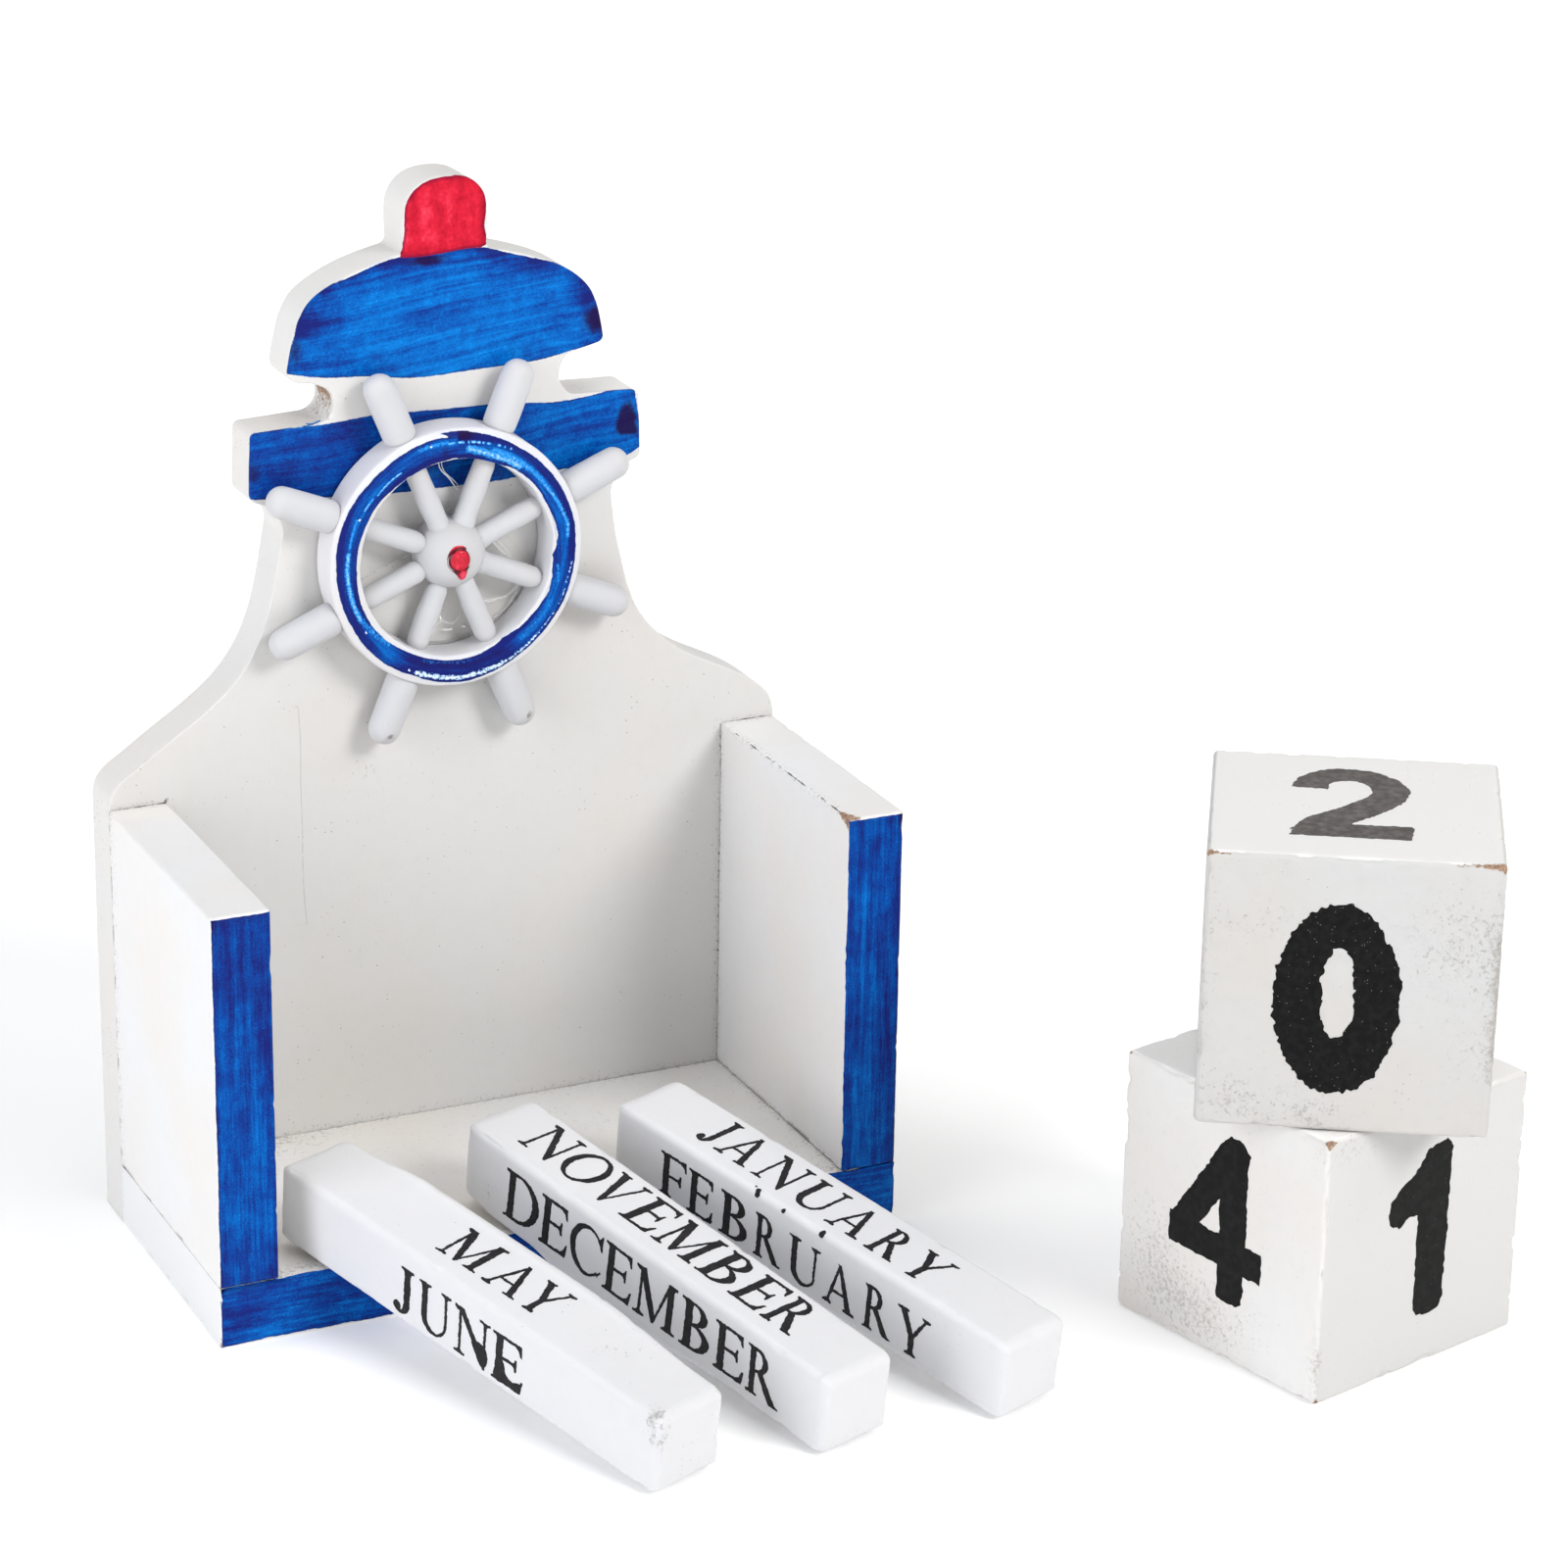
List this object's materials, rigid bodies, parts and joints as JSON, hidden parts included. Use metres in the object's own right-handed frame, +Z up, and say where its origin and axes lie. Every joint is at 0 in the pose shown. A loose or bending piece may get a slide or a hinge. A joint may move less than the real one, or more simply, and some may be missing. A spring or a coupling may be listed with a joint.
{
  "type": "perpetual block calendar",
  "caption": "Lighthouse-shaped open wooden holder with a ship's wheel, leaning month bars and stacked day cubes for a perpetual desk calendar.",
  "frame": {"origin": "centre of the holder's footprint, on the face that rests on the desk", "axes": "+Z up, +X to the right seen from the open side, +Y towards the backboard; the open side faces -Y"},
  "size_m": [0.1636, 0.1295, 0.1456],
  "materials": {
    "white_painted_board": "satin off-white paint on sawn board, with blue and red painted areas",
    "white_painted_panel": "satin off-white paint, blue painted front edges",
    "white_painted_wheel": "matte white paint, blue painted ring on the rim",
    "red_paint": "glossy red paint",
    "clear_hot_glue": "clear set glue",
    "white_painted_bar": "matte white paint with printed black month names",
    "white_painted_cube": "satin white paint with stamped black numbers"
  },
  "bodies": {
    "holder": {"backboard": "white_painted_board", "base_panel": "white_painted_panel", "left_side_panel": "white_painted_panel", "right_side_panel": "white_painted_panel", "wheel_rim": "white_painted_wheel", "wheel_hub": "white_painted_wheel", "wheel_center_button": "red_paint", "hot_glue_pad": "clear_hot_glue", "wheel_spindle_1": "white_painted_wheel", "wheel_spindle_2": "white_painted_wheel", "wheel_spindle_3": "white_painted_wheel", "wheel_spindle_4": "white_painted_wheel", "wheel_spindle_5": "white_painted_wheel", "wheel_spindle_6": "white_painted_wheel", "wheel_spindle_7": "white_painted_wheel", "wheel_spindle_8": "white_painted_wheel"},
    "month_bar_left": {"month_bar_left": "white_painted_bar"},
    "month_bar_middle": {"month_bar_middle": "white_painted_bar"},
    "month_bar_right": {"month_bar_right": "white_painted_bar"},
    "day_cube_lower": {"day_cube_lower": "white_painted_cube"},
    "day_cube_upper": {"day_cube_upper": "white_painted_cube"}
  },
  "joints": [
    {"name": "month_bar_left_lift", "type": "slide", "parent": "holder", "child": "month_bar_left", "axis": [0, 0, 1], "range_m": [0, 0.07]},
    {"name": "month_bar_middle_lift", "type": "slide", "parent": "holder", "child": "month_bar_middle", "axis": [0, 0, 1], "range_m": [0, 0.07]},
    {"name": "month_bar_right_lift", "type": "slide", "parent": "holder", "child": "month_bar_right", "axis": [0, 0, 1], "range_m": [0, 0.07]},
    {"name": "day_cube_lower_lift", "type": "slide", "parent": "holder", "child": "day_cube_lower", "axis": [0, 0, 1], "range_m": [0, 0.06]},
    {"name": "day_cube_upper_lift", "type": "slide", "parent": "day_cube_lower", "child": "day_cube_upper", "axis": [0, 0, 1], "range_m": [0, 0.06]}
  ]
}
